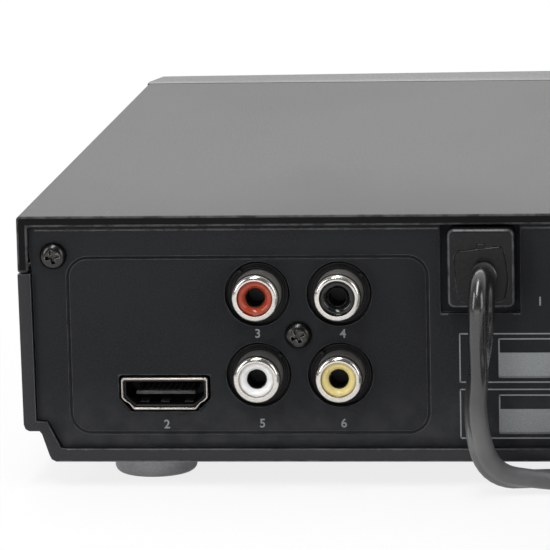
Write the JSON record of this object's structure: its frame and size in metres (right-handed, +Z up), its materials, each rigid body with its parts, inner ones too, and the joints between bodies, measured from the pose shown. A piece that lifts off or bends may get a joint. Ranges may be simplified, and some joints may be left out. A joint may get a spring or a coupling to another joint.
{
  "type": "dvd player",
  "caption": "Compact black disc player: steel cover over a plastic tub, rear sockets, hard-wired mains lead, and a motor-driven disc tray at the front.",
  "frame": {"origin": "middle of the footprint of the player, measured without its lead, on the surface that the feet stand on", "axes": "X to the right seen from the front, Y to the rear where the sockets are, Z up"},
  "size_m": [0.225, 0.2798, 0.0476],
  "materials": {
    "cover_paint": "fine textured black powder coat",
    "shell_plastic": "fine moulded texture",
    "panel_plastic": "fine spark-eroded texture",
    "front_plastic": "polished black moulding",
    "smoked_window": "smoked acrylic",
    "black_steel": "black oxide screws",
    "bright_steel": "bright zinc and steel",
    "foot_rubber": "moulded rubber",
    "key_plastic": "satin keys",
    "dark_plastic": "moulded",
    "plated_shell": "bright nickel plating, lightly worn",
    "circuit_board": "green solder mask",
    "board_brown": "phenolic board",
    "loader_plastic": "moulded",
    "tray_plastic": "fine moulded texture",
    "clamp_plastic": "natural white moulding",
    "belt_rubber": "square belt",
    "gear_plastic": "acetal",
    "sled_metal": "die-cast",
    "lens_glass": "clear lens",
    "ribbon_plastic": "flat ribbon",
    "core_red": "moulded insulator",
    "core_black": "moulded insulator",
    "core_white": "moulded insulator",
    "core_yellow": "moulded insulator",
    "tongue_plastic": "contact tongue",
    "relief_plastic": "moulded block, slightly glossy",
    "cord_vinyl": "soft vinyl",
    "plug_plastic": "moulded vinyl plug"
  },
  "bodies": {
    "cabinet": {"bottom_shell": "shell_plastic", "top_cover": "cover_paint", "rear_panel": "panel_plastic", "rear_screws": "black_steel", "feet": "foot_rubber", "front_panel": "front_plastic", "display_window": "smoked_window", "eye_window": "smoked_window", "tact_switches": "dark_plastic", "usb_socket": "plated_shell", "front_board": "circuit_board", "display_module": "dark_plastic", "remote_eye": "dark_plastic", "loader_frame": "loader_plastic", "loader_screws": "bright_steel", "clamp_bridge": "loader_plastic", "loading_motor": "bright_steel", "drive_belt": "belt_rubber", "main_board": "circuit_board", "board_chips": "dark_plastic", "board_sockets": "clamp_plastic", "power_board": "board_brown", "power_parts": "dark_plastic", "power_capacitors": "dark_plastic", "pickup_ribbon": "ribbon_plastic", "socket_block": "dark_plastic", "socket_barrels": "plated_shell", "socket_core_red": "core_red", "socket_core_black": "core_black", "socket_core_white": "core_white", "socket_core_yellow": "core_yellow", "video_socket": "plated_shell", "video_tongue": "tongue_plastic", "strain_relief": "relief_plastic", "mains_leads": "cord_vinyl", "mains_cord": "cord_vinyl", "cord_coil": "cord_vinyl", "mains_plug": "plug_plastic"},
    "tray": {"disc_tray": "tray_plastic", "tray_door": "front_plastic"},
    "drive_wheel": {"drive_gear": "gear_plastic"},
    "pulley_wheel": {"pulley_gear": "gear_plastic"},
    "motor_wheel": {"motor_pulley": "gear_plastic"},
    "cam": {"cam_slider": "gear_plastic"},
    "traverse": {"traverse_frame": "dark_plastic", "spindle_motor": "bright_steel", "guide_rods": "bright_steel", "feed_motor": "bright_steel"},
    "turntable": {"turntable": "dark_plastic"},
    "disc_clamp": {"clamper": "clamp_plastic"},
    "pickup": {"pickup_sled": "sled_metal"},
    "lens": {"objective_lens": "lens_glass"},
    "screw": {"lead_screw": "bright_steel"},
    "power_key": {"power_button": "key_plastic"},
    "open_key": {"open_button": "key_plastic"},
    "play_key": {"play_button": "key_plastic"},
    "stop_key": {"stop_button": "key_plastic"}
  },
  "joints": [
    {"name": "tray_slide", "type": "slide", "parent": "cabinet", "child": "tray", "axis": [0, -1, 0], "range_m": [0, 0.122]},
    {"name": "drive_gear_spin", "type": "hinge", "parent": "cabinet", "child": "drive_wheel", "pos_m": [0.013, -0.0675, 0.02], "axis": [0, 0, 1], "continuous": true},
    {"name": "pulley_gear_spin", "type": "hinge", "parent": "cabinet", "child": "pulley_wheel", "pos_m": [-0.00677, -0.0705, 0.02], "axis": [0, 0, 1], "continuous": true},
    {"name": "motor_pulley_spin", "type": "hinge", "parent": "cabinet", "child": "motor_wheel", "pos_m": [-0.047, -0.0705, 0.025], "axis": [0, 0, 1], "continuous": true},
    {"name": "traverse_tilt", "type": "hinge", "parent": "cabinet", "child": "traverse", "pos_m": [-0.035, 0.046, 0.028], "axis": [-1, 0, 0], "range_deg": [0, 5.4]},
    {"name": "cam_slide", "type": "slide", "parent": "cabinet", "child": "cam", "axis": [-1, 0, 0], "range_m": [-0.0003, 0.0143]},
    {"name": "spindle_spin", "type": "hinge", "parent": "traverse", "child": "turntable", "pos_m": [-0.035, -0.03184, 0.02265], "axis": [0, -0.0941, 0.9956], "continuous": true},
    {"name": "clamp_spin", "type": "hinge", "parent": "cabinet", "child": "disc_clamp", "pos_m": [-0.035, -0.032, 0.044], "axis": [0, 0, 1], "continuous": true},
    {"name": "sled_slide", "type": "slide", "parent": "traverse", "child": "pickup", "axis": [0, 0.9956, 0.0941], "range_m": [0, 0.036]},
    {"name": "lead_screw_spin", "type": "hinge", "parent": "traverse", "child": "screw", "pos_m": [-0.0015, -0.0134, 0.01887], "axis": [0, 0.9956, 0.0941], "continuous": true},
    {"name": "lens_focus", "type": "slide", "parent": "pickup", "child": "lens", "axis": [0, -0.0941, 0.9956], "range_m": [-0.0006, 0.0006], "stiffness_N_per_m": 60},
    {"name": "power_press", "type": "slide", "parent": "cabinet", "child": "power_key", "axis": [0, 1, 0], "range_m": [0, 0.00045], "stiffness_N_per_m": 900},
    {"name": "open_press", "type": "slide", "parent": "cabinet", "child": "open_key", "axis": [0, 1, 0], "range_m": [0, 0.00045], "stiffness_N_per_m": 900},
    {"name": "play_press", "type": "slide", "parent": "cabinet", "child": "play_key", "axis": [0, 1, 0], "range_m": [0, 0.00045], "stiffness_N_per_m": 900},
    {"name": "stop_press", "type": "slide", "parent": "cabinet", "child": "stop_key", "axis": [0, 1, 0], "range_m": [0, 0.00045], "stiffness_N_per_m": 900}
  ],
  "couplings": [
    {"joint": "drive_gear_spin", "follows": "tray_slide", "rad_per_m": -100},
    {"joint": "pulley_gear_spin", "follows": "tray_slide", "rad_per_m": 257.14},
    {"joint": "motor_pulley_spin", "follows": "tray_slide", "rad_per_m": 693.31},
    {"joint": "cam_slide", "follows": "traverse_tilt", "m_per_rad": 0.14854},
    {"joint": "clamp_spin", "follows": "spindle_spin", "ratio": 1},
    {"joint": "lead_screw_spin", "follows": "sled_slide", "rad_per_m": 2094.4}
  ]
}
